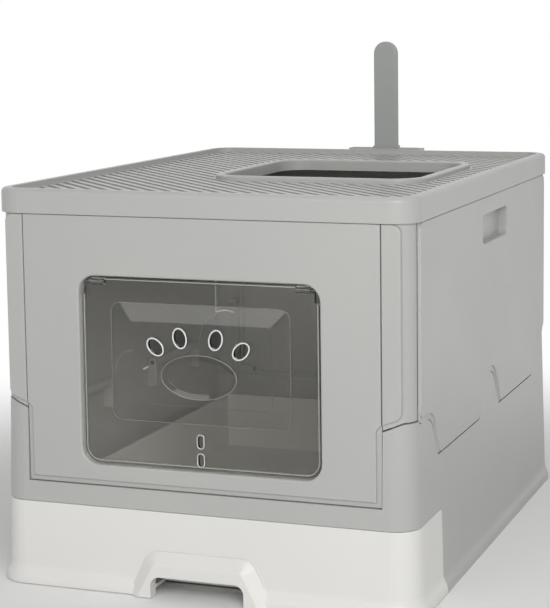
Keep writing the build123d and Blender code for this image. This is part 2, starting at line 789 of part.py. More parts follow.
with BuildPart() as rear_frame_pins:
    add(pin_pair(strip_inner_x, frame_lug_x + frame_lug_wall, frame_axis_y, frame_axis_z, frame_pin_r))

with BuildPart() as flap_pins:
    flap_pin_start = flap_half - flap_knuckle_inset - flap_knuckle
    add(pin_pair(flap_pin_start, window_half + panel_rib, -flap_axis_y, flap_axis_z, flap_pin_r))

# Lid with ribbed top and the collar of the top entry
with BuildPart() as lid:
    with BuildSketch(Plane.XY.offset(lid_edge_z)):
        RectangleRounded(lid_width, lid_depth, lid_corner)
    extrude(amount=lid_skirt)
    fillet(lid.faces().sort_by(Axis.Z)[-1].edges(), radius=lid_round)
    with BuildSketch(Plane.XY.offset(lid_edge_z)):
        RectangleRounded(lid_width - 2 * lid_wall, lid_depth - 2 * lid_wall, lid_corner - lid_wall)
    extrude(amount=plate_z - lid_edge_z, mode=Mode.SUBTRACT)
    fillet(lid.faces().sort_by(Axis.Z)[0].edges(), radius=rim_round)
    with BuildSketch(Plane.XY.offset(field_z)):
        RectangleRounded(lid_width - 2 * lid_rim, lid_depth - 2 * lid_rim, lid_corner - lid_rim)
    extrude(amount=lid_recess, mode=Mode.SUBTRACT)
    with BuildSketch(Plane.XY.offset(plate_z - collar_drop)):
        with Locations((entry_x, entry_y)):
            RectangleRounded(entry_width + 2 * collar_width, entry_depth + 2 * collar_width,
                             entry_corner + collar_width)
    extrude(amount=collar_drop + lid_plate + collar_rise)
    with BuildSketch(Plane.XY):
        with Locations((entry_x, entry_y)):
            RectangleRounded(entry_width, entry_depth, entry_corner)
    extrude(amount=far, mode=Mode.SUBTRACT)
    collar_top = lid.faces().filter_by(Axis.Z).group_by(Axis.Z)[-2]
    fillet(collar_top.edges(), radius=collar_round)
    field_width = lid_width - 2 * lid_rim - 2 * groove_border
    field_depth = lid_depth - 2 * lid_rim - 2 * groove_border
    groove_run = (field_width + field_depth) / math.sqrt(2)
    with BuildSketch(Plane.XY.offset(field_z)):
        with GridLocations(groove_pitch * math.sqrt(2), 0, math.ceil(groove_run / groove_pitch), 1):
            Rectangle(groove_width, 2 * groove_run, rotation=groove_angle)
        RectangleRounded(field_width, field_depth, lid_corner - lid_rim - groove_border,
                         mode=Mode.INTERSECT)
        with Locations((entry_x, entry_y)):
            collar_room = 2 * (collar_width + groove_border)
            RectangleRounded(entry_width + collar_room, entry_depth + collar_room,
                             entry_corner + collar_width + groove_border, mode=Mode.SUBTRACT)
    extrude(amount=-groove_depth, mode=Mode.SUBTRACT)

# Scoop holder on the lid's rear edge
with BuildPart() as scoop_holder:
    sleeve_z = (lid_edge_z - holder_drop, holder_top_z)
    block((scoop_x - holder_half, scoop_x + holder_half), (holder_y, holder_y + holder_depth), sleeve_z)
    block((scoop_x - holder_half + holder_wall, scoop_x + holder_half - holder_wall),
          (holder_y + holder_wall, holder_y + holder_wall + slot_depth), (0, far), Mode.SUBTRACT)

# Scoop: flat handle, stop that sits on the holder, slotted blade with raised rims
with BuildPart() as scoop:
    with BuildSketch(facing(handle_y + handle_wall)) as grip:
        handle_foot_z = blade_top_z - blade_corner
        with Locations((scoop_x, (handle_foot_z + scoop_top_z) / 2)):
            Rectangle(handle_width, scoop_top_z - handle_foot_z)
        fillet(grip.vertices().group_by(Axis.Y)[-1], radius=handle_width / 2 - pin_slip)
    extrude(amount=handle_wall)
    handle_faces = scoop.faces().filter_by(Axis.Y)
    fillet(handle_faces.edges(), radius=handle_round)
    with BuildSketch(facing(handle_y + handle_wall)) as back:
        with Locations((scoop_x, (blade_bottom_z + blade_top_z) / 2)):
            Rectangle(blade_width, blade_length)
        fillet(back.vertices(), radius=blade_corner)
    extrude(amount=handle_wall)
    with BuildSketch(facing(handle_y + handle_wall)) as dish:
        dish_top_z = blade_top_z - blade_corner
        with Locations((scoop_x, (blade_bottom_z - far + dish_top_z) / 2)):
            Rectangle(blade_width - 2 * blade_rim, dish_top_z - blade_bottom_z + far)
        fillet(dish.vertices().group_by(Axis.Y)[-1], radius=blade_corner - blade_rim)
    extrude(amount=handle_wall - blade_wall, mode=Mode.SUBTRACT)
    with BuildSketch(facing(far)):
        slot_pitch = (blade_width - 2 * blade_rim) / blade_slots
        with Locations((scoop_x, (blade_bottom_z + dish_top_z) / 2)):
            with GridLocations(slot_pitch, 0, blade_slots, 1):
                SlotOverall(blade_slot_length, blade_slot_width, rotation=90)
    extrude(amount=2 * far, mode=Mode.SUBTRACT)
    block((scoop_x - handle_width / 2, scoop_x + handle_width / 2), (holder_y, holder_y + holder_depth),
          (holder_top_z + turn_gap, holder_top_z + turn_gap + stop_wall))

pieces = {
    "base_shell": base_shell,
    "base_floor": base_floor,
    "litter_drawer": litter_drawer,
    "front_panel": front_panel,
    "front_panel_pins": front_panel_pins,
    "flap": flap,
    "flap_pins": flap_pins,
    "rear_panel": rear_panel,
    "rear_panel_pins": rear_panel_pins,
    "right_side_panel": right_side_panel,
    "right_hinge_rods": right_hinge_rods,
    "left_side_panel": left_side_panel,
    "left_hinge_rods": left_hinge_rods,
    "front_frame": front_frame,
    "front_frame_pins": front_frame_pins,
    "rear_frame": rear_frame,
    "rear_frame_pins": rear_frame_pins,
    "lid": lid,
    "scoop_holder": scoop_holder,
    "scoop": scoop,
}
for label, piece in pieces.items():
    piece.part.label = label
    export_step(piece.part, f"parts/{label}.step")
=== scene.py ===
"""Looks of a foldable litter box: moulded finishes, the clear swing flap and a plain studio."""
import logging
import math
from dataclasses import dataclass, field
from enum import Enum

import bmesh
import bpy
from mathutils import Matrix, Vector


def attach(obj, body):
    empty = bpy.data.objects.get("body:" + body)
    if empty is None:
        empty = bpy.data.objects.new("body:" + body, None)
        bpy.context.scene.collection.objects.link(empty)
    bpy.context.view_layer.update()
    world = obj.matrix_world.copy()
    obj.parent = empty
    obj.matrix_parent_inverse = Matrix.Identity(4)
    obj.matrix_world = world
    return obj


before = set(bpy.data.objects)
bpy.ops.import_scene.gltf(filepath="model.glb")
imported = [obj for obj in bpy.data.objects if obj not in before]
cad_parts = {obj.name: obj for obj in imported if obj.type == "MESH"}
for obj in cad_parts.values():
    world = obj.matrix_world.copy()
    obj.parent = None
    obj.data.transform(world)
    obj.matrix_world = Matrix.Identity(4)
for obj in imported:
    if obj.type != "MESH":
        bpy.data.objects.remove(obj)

LOG = logging.getLogger("litter_box")
Colour = tuple[float, float, float, float]


class End(Enum):
    """End of the box that a folding piece stands at."""

    FRONT = "front"
    REAR = "rear"


class Side(Enum):
    """Side of the box that a folding piece stands at."""

    LEFT = "left"
    RIGHT = "right"


def srgb(red: float, green: float, blue: float) -> Colour:
    """Linear colour of an 8-bit sRGB triple.

    Args:
        red: Red from 0 to 255.
        green: Green from 0 to 255.
        blue: Blue from 0 to 255.

    Returns:
        Linear red, green and blue with a full alpha.
    """
    linear = []
    for value in (red, green, blue):
        share = value / 255.0
        linear.append(share / 12.92 if share <= 0.04045 else ((share + 0.055) / 1.055) ** 2.4)
    return (*linear, 1.0)


class NodeKit:
    """Short way to place and join nodes in one tree."""

    def __init__(self, tree: bpy.types.NodeTree) -> None:
        """Keep the tree that the nodes go into."""
        self.tree = tree

    def add(self, kind: str, **settings: object) -> bpy.types.Node:
        """Place one node.

        Args:
            kind: Blender's identifier of the node.
            settings: Properties of the node, by name.

        Returns:
            The new node.
        """
        node = self.tree.nodes.new(kind)
        for name, value in settings.items():
            setattr(node, name, value)
        return node

    def join(self, source: bpy.types.NodeSocket, target: bpy.types.NodeSocket) -> None:
        """Link an output to an input."""
        self.tree.links.new(source, target)

    def group(self, tree: bpy.types.NodeTree, **values: object) -> bpy.types.Node:
        """Place a shared group.

        Args:
            tree: The group's tree.
            values: Values of its inputs, by socket name with underscores for spaces.

        Returns:
            The group node.
        """
        node = self.add("ShaderNodeGroup", node_tree=tree)
        for name, value in values.items():
            node.inputs[name.replace("_", " ")].default_value = value
        return node

    def math(self, operation: str, first: object, second: object) -> bpy.types.NodeSocket:
        """Work out one sum of sockets or numbers.

        Args:
            operation: Name of the Math node's operation.
            first: A socket or a number.
            second: A socket or a number.

        Returns:
            The result's socket.
        """
        node = self.add("ShaderNodeMath", operation=operation)
        for index, value in enumerate((first, second)):
            if isinstance(value, bpy.types.NodeSocket):
                self.join(value, node.inputs[index])
            else:
                node.inputs[index].default_value = value
        return node.outputs["Value"]


def shared_group(name: str, inputs: dict[str, str],
                 outputs: dict[str, str]) -> tuple[NodeKit, bpy.types.Node, bpy.types.Node]:
    """Start an empty shader node group.

    Args:
        name: Name of the group.
        inputs: Socket types of its inputs, by name.
        outputs: Socket types of its outputs, by name.
    """
    tree = bpy.data.node_groups.new(name, "ShaderNodeTree")
    for label, kind in inputs.items():
        tree.interface.new_socket(name=label, in_out="INPUT", socket_type=kind)
    for label, kind in outputs.items():
        tree.interface.new_socket(name=label, in_out="OUTPUT", socket_type=kind)
    kit = NodeKit(tree)
    return kit, kit.add("NodeGroupInput"), kit.add("NodeGroupOutput")


class SurfaceEffects:
    """Shader groups that several finishes share."""

    def __init__(self) -> None:
        """Build each group once."""
        self.grain = self._grain()
        self.tone = self._tone()
        self.gloss = self._gloss()

    @staticmethod
    def _grain() -> bpy.types.NodeTree:
        """Height of the fine spark texture that a mould leaves, over a faint waviness."""
        kit, start, end = shared_group(
            "mould_grain",
            {"Vector": "NodeSocketVector", "Grain Scale": "NodeSocketFloat",
             "Wave Scale": "NodeSocketFloat", "Wave Share": "NodeSocketFloat"},
            {"Height": "NodeSocketFloat"})
        fine = kit.add("ShaderNodeTexNoise")
        fine.inputs["Detail"].default_value = 2.0
        kit.join(start.outputs["Vector"], fine.inputs["Vector"])
        kit.join(start.outputs["Grain Scale"], fine.inputs["Scale"])
        wave = kit.add("ShaderNodeTexNoise")
        wave.inputs["Detail"].default_value = 0.0
        kit.join(start.outputs["Vector"], wave.inputs["Vector"])
        kit.join(start.outputs["Wave Scale"], wave.inputs["Scale"])
        slow = kit.math("MULTIPLY", wave.outputs["Fac"], start.outputs["Wave Share"])
        kit.join(kit.math("ADD", fine.outputs["Fac"], slow), end.inputs["Height"])
        return kit.tree

    @staticmethod
    def _tone() -> bpy.types.NodeTree:
        """Colour that drifts a little over a moulding, as the melt cools unevenly."""
        kit, start, end = shared_group(
            "tone_drift",
            {"Vector": "NodeSocketVector", "Colour": "NodeSocketColor",
             "Other Colour": "NodeSocketColor", "Scale": "NodeSocketFloat"},
            {"Colour": "NodeSocketColor"})
        cloud = kit.add("ShaderNodeTexNoise")
        cloud.inputs["Detail"].default_value = 3.0
        kit.join(start.outputs["Vector"], cloud.inputs["Vector"])
        kit.join(start.outputs["Scale"], cloud.inputs["Scale"])
        spread = kit.add("ShaderNodeMapRange")
        spread.inputs["From Min"].default_value = 0.3
        spread.inputs["From Max"].default_value = 0.7
        kit.join(cloud.outputs["Fac"], spread.inputs["Value"])
        mix = kit.add("ShaderNodeMix", data_type="RGBA")
        kit.join(spread.outputs["Result"], mix.inputs["Factor"])
        first, second = (socket for socket in mix.inputs if socket.type == "RGBA")
        kit.join(start.outputs["Colour"], first)
        kit.join(start.outputs["Other Colour"], second)
        blended = next(socket for socket in mix.outputs if socket.type == "RGBA")
        kit.join(blended, end.inputs["Colour"])
        return kit.tree

    @staticmethod
    def _gloss() -> bpy.types.NodeTree:
        """Roughness that hands and cleaning leave uneven."""
        kit, start, end = shared_group(
            "handled_gloss",
            {"Vector": "NodeSocketVector", "Roughness": "NodeSocketFloat",
             "Spread": "NodeSocketFloat", "Scale": "NodeSocketFloat"},
            {"Roughness": "NodeSocketFloat"})
        smear = kit.add("ShaderNodeTexNoise")
        smear.inputs["Detail"].default_value = 4.0
        kit.join(start.outputs["Vector"], smear.inputs["Vector"])
        kit.join(start.outputs["Scale"], smear.inputs["Scale"])
        centred = kit.math("SUBTRACT", smear.outputs["Fac"], 0.5)
        change = kit.math("MULTIPLY", centred, start.outputs["Spread"])
        kit.join(kit.math("ADD", change, start.outputs["Roughness"]), end.inputs["Roughness"])
        return kit.tree


@dataclass(frozen=True)
class MouldedPlastic:
    """Injection-moulded plastic with a fine grain."""

    name: str
    colour: Colour
    other_colour: Colour
    roughness: float = 0.36
    roughness_spread: float = 0.10
    roughness_scale: float = 14.0
    tone_scale: float = 5.0
    grain_scale: float = 1400.0
    grain_depth: float = 0.00006
    grain_strength: float = 0.5
    wave_scale: float = 9.0
    wave_share: float = 2.0
    specular: float = 0.5

    def material(self, effects: SurfaceEffects) -> bpy.types.Material:
        """Build the finish.

        Args:
            effects: The shared shader groups.

        Returns:
            The material.
        """
        made = bpy.data.materials.new(self.name)
        made.use_nodes = True
        kit = NodeKit(made.node_tree)
        surface = made.node_tree.nodes["Principled BSDF"]
        surface.inputs["Specular IOR Level"].default_value = self.specular
        place = kit.add("ShaderNodeTexCoord").outputs["Object"]
        tone = kit.group(effects.tone, Colour=self.colour, Other_Colour=self.other_colour,
                         Scale=self.tone_scale)
        gloss = kit.group(effects.gloss, Roughness=self.roughness, Spread=self.roughness_spread,
                          Scale=self.roughness_scale)
        grain = kit.group(effects.grain, Grain_Scale=self.grain_scale, Wave_Scale=self.wave_scale,
                          Wave_Share=self.wave_share)
        for effect in (tone, gloss, grain):
            kit.join(place, effect.inputs["Vector"])
        bump = kit.add("ShaderNodeBump")
        bump.inputs["Strength"].default_value = self.grain_strength
        bump.inputs["Distance"].default_value = self.grain_depth
        kit.join(grain.outputs["Height"], bump.inputs["Height"])
        kit.join(tone.outputs["Colour"], surface.inputs["Base Color"])
        kit.join(gloss.outputs["Roughness"], surface.inputs["Roughness"])
        kit.join(bump.outputs["Normal"], surface.inputs["Normal"])
        return made


@dataclass(frozen=True)
class SmokyClear:
    """Clear plastic with a little smoke in it."""

    name: str
    colour: Colour
    roughness: float = 0.02
    roughness_spread: float = 0.04
    roughness_scale: float = 22.0
    ior: float = 1.49
    lamp_share: float = 0.8

    def material(self, effects: SurfaceEffects) -> bpy.types.Material:
        """Build the finish.

        Args:
            effects: The shared shader groups.

        Returns:
            The material.
        """
        made = bpy.data.materials.new(self.name)
        made.use_nodes = True
        kit = NodeKit(made.node_tree)
        surface = made.node_tree.nodes["Principled BSDF"]
        surface.inputs["Base Color"].default_value = self.colour
        surface.inputs["Transmission Weight"].default_value = 1.0
        surface.inputs["IOR"].default_value = self.ior
        place = kit.add("ShaderNodeTexCoord").outputs["Object"]
        gloss = kit.group(effects.gloss, Roughness=self.roughness, Spread=self.roughness_spread,
                          Scale=self.roughness_scale)
        kit.join(place, gloss.inputs["Vector"])
        kit.join(gloss.outputs["Roughness"], surface.inputs["Roughness"])
        lamps = kit.add("ShaderNodeBsdfTransparent")
        lamps.inputs["Color"].default_value = (*(self.lamp_share,) * 3, 1.0)
        path = kit.add("ShaderNodeLightPath")
        mix = kit.add("ShaderNodeMixShader")
        output = made.node_tree.nodes["Material Output"]
        kit.join(path.outputs["Is Shadow Ray"], mix.inputs["Fac"])
        kit.join(surface.outputs["BSDF"], mix.inputs[1])
        kit.join(lamps.outputs["BSDF"], mix.inputs[2])
        kit.join(mix.outputs["Shader"], output.inputs["Surface"])
        return made


class Palette:
    """The finishes of this box, made once and shared."""

    def __init__(self) -> None:
        """Make the materials."""
        effects = SurfaceEffects()
        grey = MouldedPlastic("shell_grey", srgb(184, 184, 181), srgb(180, 181, 178))
        white = MouldedPlastic("drawer_white", srgb(231, 230, 226), srgb(227, 226, 222))
        scoop = MouldedPlastic("scoop_grey", srgb(166, 169, 166), srgb(161, 165, 162),
                               roughness=0.34)
        dark = MouldedPlastic("pin_dark", srgb(92, 92, 92), srgb(86, 86, 87), roughness=0.38)
        # Pale rings on the flap's clear rims: a painted highlight where those rims catch light.
        rim = MouldedPlastic("rim_painted_highlight", srgb(230, 230, 228), srgb(223, 224, 223),
                             roughness=0.16, roughness_spread=0.06)
        # Light grey lines on the flap's edge, head and palm: a painted highlight.
        edge = MouldedPlastic("edge_painted_highlight", srgb(176, 174, 168), srgb(166, 164, 158),
                              roughness=0.14, roughness_spread=0.06)
        # Dim grey line along the bulge's step: a painted highlight.
        soft = MouldedPlastic("bulge_painted_dim_highlight", srgb(132, 128, 120), srgb(122, 118, 110),
                              roughness=0.2, roughness_spread=0.06)
        clear = SmokyClear("flap_clear", (0.825, 0.805, 0.75, 1.0))
        self.grey = grey.material(effects)
        self.white = white.material(effects)
        self.scoop = scoop.material(effects)
        self.dark = dark.material(effects)
        self.rim = rim.material(effects)
        self.edge = edge.material(effects)
        self.soft = soft.material(effects)
        self.clear = clear.material(effects)


def dress_node(name: str, material: bpy.types.Material) -> bpy.types.Object:
    """Give a CAD node its finish.

    Args:
        name: Name of the node.
        material: The finish.

    Returns:
        The node's object.
    """
    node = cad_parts[name]
    for slot in node.material_slots:
        slot.material = material
    LOG.info("%s: %s", name, material.name)
    return node


def new_piece(name: str, shape: bmesh.types.BMesh, body: str) -> bpy.types.Object:
    """Turn a closed bmesh into a piece that rides on a body, with its faces outward.

    Args:
        name: Name of the piece.
        shape: The bmesh, which is freed.
        body: Name of the body.

    Returns:
        The piece's object.
    """
    bmesh.ops.recalc_face_normals(shape, faces=shape.faces[:])
    mesh = bpy.data.meshes.new(name)
    shape.to_mesh(mesh)
    shape.free()
    mesh.shade_smooth()
    piece = bpy.data.objects.new(name, mesh)
    bpy.context.scene.collection.objects.link(piece)
    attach(piece, body)
    LOG.info("%s: %d faces on %s", name, len(mesh.polygons), body)
    return piece


def dress_piece(piece: bpy.types.Object, material: bpy.types.Material) -> None:
    """Give a new piece its finish."""
    piece.data.materials.append(material)


@dataclass
class SubAssembly:
    """CAD nodes and new pieces that make one part of the box and are dressed together."""

    palette: Palette

    def build(self) -> None:
        """Model the pieces that the CAD nodes lack, if any."""

    def dress(self) -> None:
        """Give each node its finish."""
        raise NotImplementedError


@dataclass
class LowerBody(SubAssembly):
    """Base shell, its floor, and the pins and rods that it holds."""

    shells: tuple[str, ...] = ("base_shell", "base_floor")
    pins: tuple[str, ...] = ("front_panel_pins", "rear_panel_pins", "right_hinge_rods",
                             "left_hinge_rods", "front_frame_pins", "rear_frame_pins")

    def dress(self) -> None:
        """Grey shell, dark pins."""
        for name in self.shells:
            dress_node(name, self.palette.grey)
        for name in self.pins:
            dress_node(name, self.palette.dark)


@dataclass
class LitterDrawer(SubAssembly):
    """White drawer with its wrap-round front and arch pull."""

    node: str = "litter_drawer"

    def dress(self) -> None:
        """White plastic."""
        dress_node(self.node, self.palette.white)


@dataclass
class EndWall(SubAssembly):
    """Folding panel at one end."""

    end: End = End.FRONT

    def dress(self) -> None:
        """Grey plastic."""
        dress_node(f"{self.end.value}_panel", self.palette.grey)


@dataclass
class SideWall(SubAssembly):
    """Folding panel on one side, with its hinge tabs and grip recess."""

    side: Side = Side.LEFT

    def dress(self) -> None:
        """Grey plastic."""
        dress_node(f"{self.side.value}_side_panel", self.palette.grey)


@dataclass
class PostFrame(SubAssembly):
    """Two corner posts with their top rail."""

    end: End = End.FRONT

    def dress(self) -> None:
        """Grey plastic."""
        dress_node(f"{self.end.value}_frame", self.palette.grey)


@dataclass(frozen=True)
class CutOut:
    """Rounded hole: middle, half sizes, rim width and half straight in metres, tilt in degrees."""

    x: float
    z: float
    face_y: float
    half_width: float
    half_height: float
    rim: float
    tilt: float = 0.0
    straight: float = 0.0

    def loop(self, shape: bmesh.types.BMesh, grow: float,
             segments: int) -> list[bmesh.types.BMEdge]:
        """Add the hole's outline, let out by grow.

        Args:
            shape: The mesh that takes the outline.
            grow: Distance outside the hole's edge.
            segments: Corners of the outline.

        Returns:
            The outline's edges.
        """
        made = bmesh.ops.create_circle(shape, segments=segments, radius=1.0)["verts"]
        spread = Vector((self.half_width + grow, self.half_height + grow, 1.0))
        bmesh.ops.rotate(shape, verts=made, matrix=Matrix.Rotation(math.pi / segments, 3, "Z"))
        bmesh.ops.scale(shape, verts=made, vec=spread)
        for half in (1.0, -1.0):
            end = [vert for vert in made if vert.co.y * half > 0.0]
            bmesh.ops.translate(shape, verts=end, vec=(0.0, half * self.straight, 0.0))
        upright = Matrix.Rotation(math.radians(90.0), 3, "X")
        turn = upright @ Matrix.Rotation(math.radians(self.tilt), 3, "Z")
        bmesh.ops.rotate(shape, verts=made, matrix=turn)
        bmesh.ops.translate(shape, verts=made, vec=(self.x, self.face_y, self.z))
        return list(dict.fromkeys(edge for vert in made for edge in vert.link_edges))


@dataclass
class SwingFlap(SubAssembly):
    """Clear flap under the window's head, with painted highlights on the rims of its cut-outs and
    along its edge, head, palm and bulge.
    """

    sheet: str = "flap"
    pins: str = "flap_pins"
    body: str = "swing_flap"
    sunk: float = 0.0008
    lip_segments: int = 3
    corner_segments: int = 12
    rim_inner: float = 0.0002
    rim_rise: float = 0.0004
    rim_round: float = 0.0005
    rim_segments: int = 48
    line_rise: float = 0.0002
    line_round: float = 0.0003
    line_width: float = 0.0010
    toe_face: float = -0.2675
    toe_half_width: float = 0.0055
    toe_half_height: float = 0.0083
    toe_rim: float = 0.0016
    # distance from the middle, rise over the palm's middle and tilt of each pair of toes
    toe_pairs: tuple[tuple[float, float, float], ...] = (
        (0.042, 0.0265, 46.0),
        (0.0176, 0.0355, 13.0),
    )
    slot_face: float = -0.2645
    slot_half_width: float = 0.0027
    slot_straight: float = 0.0031
    slot_rim: float = 0.0011
    slot_heights: tuple[float, ...] = (0.1293, 0.1466)
    palm_face: float = -0.2662
    palm_z: float = 0.20615
    palm_half_width: float = 0.0365
    palm_half_height: float = 0.0200
    palm_rim: float = 0.0007
    palm_segments: int = 128
    edge_face: float = -0.2641
    side_x: float = 0.1149
    side_top: float = 0.2785
    foot_z: float = 0.1223
    foot_corner: float = 0.0131
    head_x: float = 0.0930
    head_z: float = 0.2930
    bulge_face: float = -0.2632
    bulge_x: float = 0.0880
    bulge_foot: float = 0.1620
    bulge_head: float = 0.2722
    bulge_corner: float = 0.0100
    bulge_line: float = 0.0007
    rim_highlights: bpy.types.Object = field(init=False)
    edge_highlights: bpy.types.Object = field(init=False)
    bulge: bpy.types.Object = field(init=False)

    def cut_outs(self) -> list[CutOut]:
        """Four toes of the paw and the two slots below it."""
        toes = [CutOut(side * x, self.palm_z + rise, self.toe_face, self.toe_half_width,
                       self.toe_half_height, self.toe_rim, tilt=-side * tilt)
                for x, rise, tilt in self.toe_pairs for side in (-1.0, 1.0)]
        slots = [CutOut(0.0, z, self.slot_face, self.slot_half_width, self.slot_half_width,
                        self.slot_rim, straight=self.slot_straight) for z in self.slot_heights]
        return toes + slots

    def palm(self) -> CutOut:
        """Outline of the palm's dish."""
        return CutOut(0.0, self.palm_z, self.palm_face, self.palm_half_width,
                      self.palm_half_height, self.palm_rim)

    def build(self) -> None:
        """Model the painted highlights on the rims of the cut-outs and along the edge, head, palm
        and bulge.
        """
        # Pale rings on the cut-outs' rims: painted highlights.
        rim_highlights = bmesh.new()
        for hole in self.cut_outs():
            ring = self._ring(rim_highlights, hole, self.rim_segments)
            self._raise(rim_highlights, ring, self.rim_rise, self.rim_round)
        self.rim_highlights = new_piece("cut_out_rim_painted_highlights", rim_highlights, self.body)
        # Light strips along the flap's edge, head and palm: painted highlights.
        edge_highlights = bmesh.new()
        for flat in (self._edge, self._head, self._palm):
            self._raise(edge_highlights, flat(edge_highlights), self.line_rise, self.line_round)
        self.edge_highlights = new_piece("flap_painted_edge_highlights", edge_highlights, self.body)
        # Dim strip along the bulge's step: a painted highlight.
        bulge = bmesh.new()
        self._raise(bulge, self._bulge(bulge), self.line_rise, self.line_round)
        self.bulge = new_piece("flap_bulge_painted_highlight", bulge, self.body)

    def _ring(self, shape: bmesh.types.BMesh, hole: CutOut,
              segments: int) -> list[bmesh.types.BMFace]:
        """Add a flat ring round a hole.

        Args:
            shape: The mesh that takes the ring.
            hole: The hole.
            segments: Corners of the ring's outlines.

        Returns:
            The ring's faces.
        """
        inner = hole.loop(shape, self.rim_inner, segments)
        outer = hole.loop(shape, hole.rim, segments)
        return bmesh.ops.bridge_loops(shape, edges=inner + outer)["faces"]

    @staticmethod
    def _plate(shape: bmesh.types.BMesh, low: Vector, high: Vector) -> bmesh.types.BMFace:
        """Add a flat upright plate.

        Args:
            shape: The mesh that takes the plate.
            low: Its left lower corner.
            high: Its right upper corner.

        Returns:
            The plate's face.
        """
        places = ((low.x, low.z), (high.x, low.z), (high.x, high.z), (low.x, high.z))
        verts = [bmesh.ops.create_vert(shape, co=(x, low.y, z))["vert"][0] for x, z in places]
        return bmesh.ops.contextual_create(shape, geom=verts)["faces"][0]

    def _outline(self, shape: bmesh.types.BMesh, low: Vector, high: Vector, corner: float,
                 width: float, closed: bool) -> list[bmesh.types.BMFace]:
        """Add a flat line along the inside of a rounded rectangle.

        Args:
            shape: The empty mesh that takes the line.
            low: The rectangle's left lower corner.
            high: Its right upper corner.
            corner: Radius of the rounded corners.
            width: Width of the line.
            closed: Whether the line runs along the head and round its corners too.

        Returns:
            The line's faces.
        """
        plate = self._plate(shape, low, high)
        middle = (low.z + high.z) / 2.0
        rounded = [vert for vert in plate.verts if closed or vert.co.z < middle]
        bmesh.ops.bevel(shape, geom=rounded, offset=corner, offset_type="OFFSET", affect="VERTICES",
                        segments=self.corner_segments, profile=0.5, material=-1)
        gone = shape.faces[:]
        line = bmesh.ops.inset_region(shape, faces=gone, thickness=width, use_boundary=True,
                                      use_even_offset=True)["faces"]
        if not closed:
            gone.append(max(line, key=lambda face: face.calc_center_median().z))
        bmesh.ops.delete(shape, geom=gone, context="FACES")
        return [face for face in line if face.is_valid]

    def _edge(self, shape: bmesh.types.BMesh) -> list[bmesh.types.BMFace]:
        """Flat line down both sides of the flap and along its foot."""
        low = Vector((-self.side_x, self.edge_face, self.foot_z))
        high = Vector((self.side_x, self.edge_face, self.side_top))
        return self._outline(shape, low, high, self.foot_corner, self.line_width, False)

    def _bulge(self, shape: bmesh.types.BMesh) -> list[bmesh.types.BMFace]:
        """Flat line where the bulge rises from the flap."""
        low = Vector((-self.bulge_x, self.bulge_face, self.bulge_foot))
        high = Vector((self.bulge_x, self.bulge_face, self.bulge_head))
        return self._outline(shape, low, high, self.bulge_corner, self.bulge_line, True)

    def _head(self, shape: bmesh.types.BMesh) -> list[bmesh.types.BMFace]:
        """Flat line along the flap's head, between its knuckles."""
        low = Vector((-self.head_x, self.edge_face, self.head_z - self.line_width))
        high = Vector((self.head_x, self.edge_face, self.head_z))
        return [self._plate(shape, low, high)]

    def _palm(self, shape: bmesh.types.BMesh) -> list[bmesh.types.BMFace]:
        """Flat line round the palm's dish."""
        return self._ring(shape, self.palm(), self.palm_segments)

    def _raise(self, shape: bmesh.types.BMesh, flat: list[bmesh.types.BMFace], rise: float,
               lip: float) -> None:
        """Thicken flat faces towards the front and round their lips.

        Args:
            shape: The mesh that holds the faces.
            flat: The faces.
            rise: Height over the flap.
            lip: Rounding of the lips.
        """
        verts = list(dict.fromkeys(vert for face in flat for vert in face.verts))
        bmesh.ops.translate(shape, verts=verts, vec=(0.0, self.sunk, 0.0))
        raised = bmesh.ops.extrude_face_region(shape, geom=flat)["geom"]
        top = [item for item in raised if isinstance(item, bmesh.types.BMVert)]
        bmesh.ops.translate(shape, verts=top, vec=(0.0, -self.sunk - rise, 0.0))
        front = set(top)
        around = dict.fromkeys(edge for vert in top for edge in vert.link_edges
                               if front.issuperset(edge.verts))
        lips = [edge for edge in around
                if any(not front.issuperset(face.verts) for face in edge.link_faces)]
        bmesh.ops.bevel(shape, geom=lips, offset=lip, offset_type="OFFSET", affect="EDGES",
                        segments=self.lip_segments, profile=0.5, material=-1)

    def dress(self) -> None:
        """Smoky clear sheet on dark pins, with painted highlights on its rims, edges and bulge."""
        dress_node(self.sheet, self.palette.clear)
        dress_node(self.pins, self.palette.dark)
        dress_piece(self.rim_highlights, self.palette.rim)
        dress_piece(self.edge_highlights, self.palette.edge)
        dress_piece(self.bulge, self.palette.soft)


@dataclass
class LidSet(SubAssembly):
    """Lid with the scoop's holder and the scoop."""

    shells: tuple[str, ...] = ("lid", "scoop_holder")
    scoop: str = "scoop"

    def dress(self) -> None:
        """Grey lid and holder, darker scoop."""
        for name in self.shells:
            dress_node(name, self.palette.grey)
        dress_node(self.scoop, self.palette.scoop)


@dataclass(frozen=True)
class SoftLamp:
    """Square area lamp aimed at the box."""

    name: str
    place: tuple[float, float, float]
    size: float
    power: float
    aim: tuple[float, float, float] = (0.0, 0.0, 0.2)

    def build(self) -> None:
        """Make the lamp."""
        lamp = bpy.data.lights.new(self.name, "AREA")
        lamp.size = self.size
        lamp.energy = self.power
        holder = bpy.data.objects.new(self.name, lamp)
        holder.location = self.place
        aim = Vector(self.aim) - Vector(self.place)
        holder.rotation_euler = aim.to_track_quat("-Z", "Y").to_euler()
        bpy.context.scene.collection.objects.link(holder)


